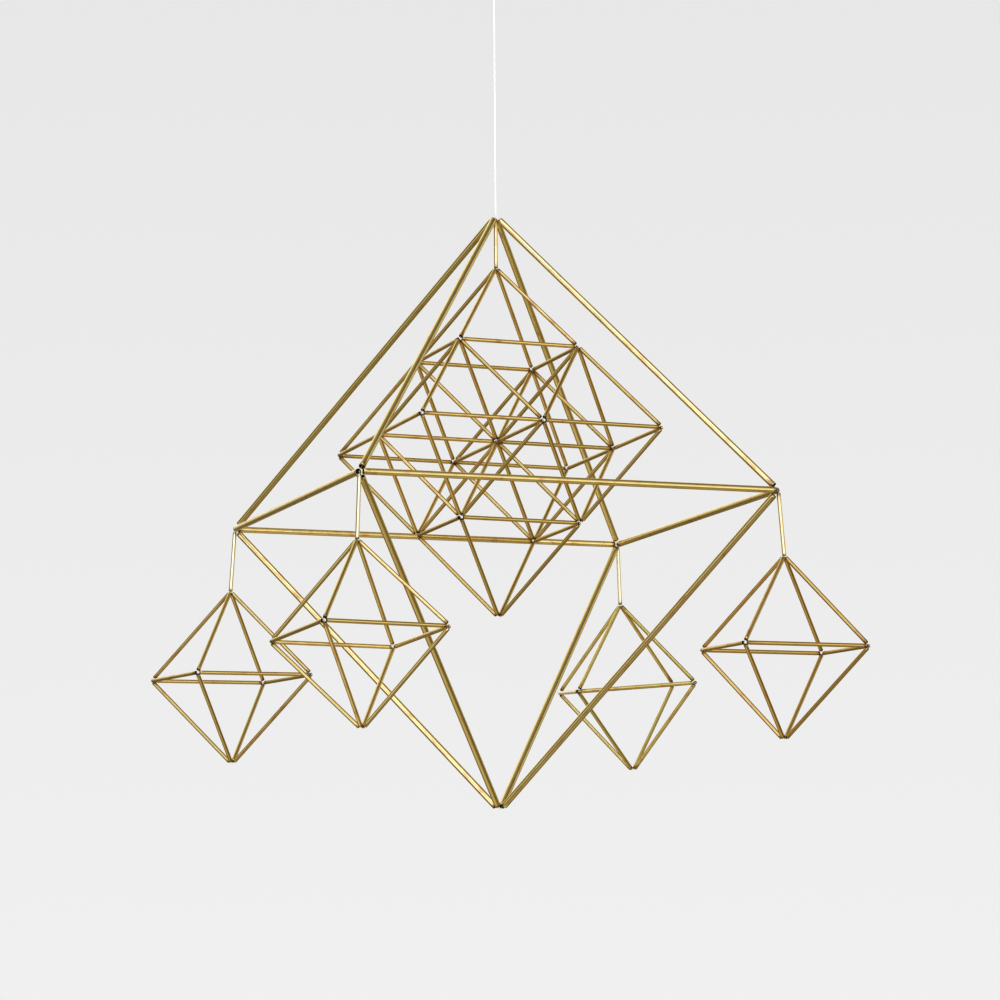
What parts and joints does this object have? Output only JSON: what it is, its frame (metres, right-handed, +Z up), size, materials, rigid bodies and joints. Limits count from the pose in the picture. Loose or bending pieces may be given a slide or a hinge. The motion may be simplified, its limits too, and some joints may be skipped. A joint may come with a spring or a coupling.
{
  "type": "hanging mobile sculpture",
  "caption": "Himmeli hanging mobile: straight brass tubes strung on thread as an octahedral frame, with a lattice of fine tubes inside it and small octahedra below its corners.",
  "frame": {"origin": "where a hook bears on the inside of the hanging loop, at the top of the thread", "axes": "+Z up along the taut thread, -Y towards the front ring tube, +X to the right; the frame's ring tubes run along X and Y"},
  "size_m": [0.3723, 0.3742, 0.5511],
  "materials": {
    "brass_tube": "satin",
    "cotton_thread": "matte"
  },
  "bodies": {
    "root": {"frame_upper_front_left_tube": "brass_tube", "frame_upper_front_right_tube": "brass_tube", "frame_upper_back_left_tube": "brass_tube", "frame_upper_back_right_tube": "brass_tube", "frame_lower_front_left_tube": "brass_tube", "frame_lower_front_right_tube": "brass_tube", "frame_lower_back_left_tube": "brass_tube", "frame_lower_back_right_tube": "brass_tube", "frame_ring_front_tube": "brass_tube", "frame_ring_back_tube": "brass_tube", "frame_ring_left_tube": "brass_tube", "frame_ring_right_tube": "brass_tube", "lattice_hanger_tube": "brass_tube", "front_left_pendant_hanger_tube": "brass_tube", "front_right_pendant_hanger_tube": "brass_tube", "back_left_pendant_hanger_tube": "brass_tube", "back_right_pendant_hanger_tube": "brass_tube", "lattice_top_tubes": "brass_tube", "lattice_upper_front_left_tubes": "brass_tube", "lattice_middle_front_left_tubes": "brass_tube", "lattice_lower_front_left_tubes": "brass_tube", "front_left_pendant_top_tubes": "brass_tube", "front_left_pendant_corner_front_left_tubes": "brass_tube", "front_left_pendant_corner_front_right_tubes": "brass_tube", "front_left_pendant_corner_back_left_tubes": "brass_tube", "front_left_pendant_corner_back_right_tubes": "brass_tube", "lattice_upper_front_right_tubes": "brass_tube", "lattice_middle_front_right_tubes": "brass_tube", "lattice_lower_front_right_tubes": "brass_tube", "front_right_pendant_top_tubes": "brass_tube", "front_right_pendant_corner_front_left_tubes": "brass_tube", "front_right_pendant_corner_front_right_tubes": "brass_tube", "front_right_pendant_corner_back_left_tubes": "brass_tube", "front_right_pendant_corner_back_right_tubes": "brass_tube", "lattice_upper_back_left_tubes": "brass_tube", "lattice_middle_back_left_tubes": "brass_tube", "lattice_lower_back_left_tubes": "brass_tube", "back_left_pendant_top_tubes": "brass_tube", "back_left_pendant_corner_front_left_tubes": "brass_tube", "back_left_pendant_corner_front_right_tubes": "brass_tube", "back_left_pendant_corner_back_left_tubes": "brass_tube", "back_left_pendant_corner_back_right_tubes": "brass_tube", "lattice_upper_back_right_tubes": "brass_tube", "lattice_middle_back_right_tubes": "brass_tube", "lattice_lower_back_right_tubes": "brass_tube", "back_right_pendant_top_tubes": "brass_tube", "back_right_pendant_corner_front_left_tubes": "brass_tube", "back_right_pendant_corner_front_right_tubes": "brass_tube", "back_right_pendant_corner_back_left_tubes": "brass_tube", "back_right_pendant_corner_back_right_tubes": "brass_tube", "lattice_middle_front_tubes": "brass_tube", "lattice_middle_back_tubes": "brass_tube", "lattice_middle_left_tubes": "brass_tube", "lattice_middle_right_tubes": "brass_tube", "lattice_middle_centre_tubes": "brass_tube", "binding_thread": "cotton_thread", "suspension_thread": "cotton_thread", "hanging_loop": "cotton_thread"}
  },
  "joints": []
}
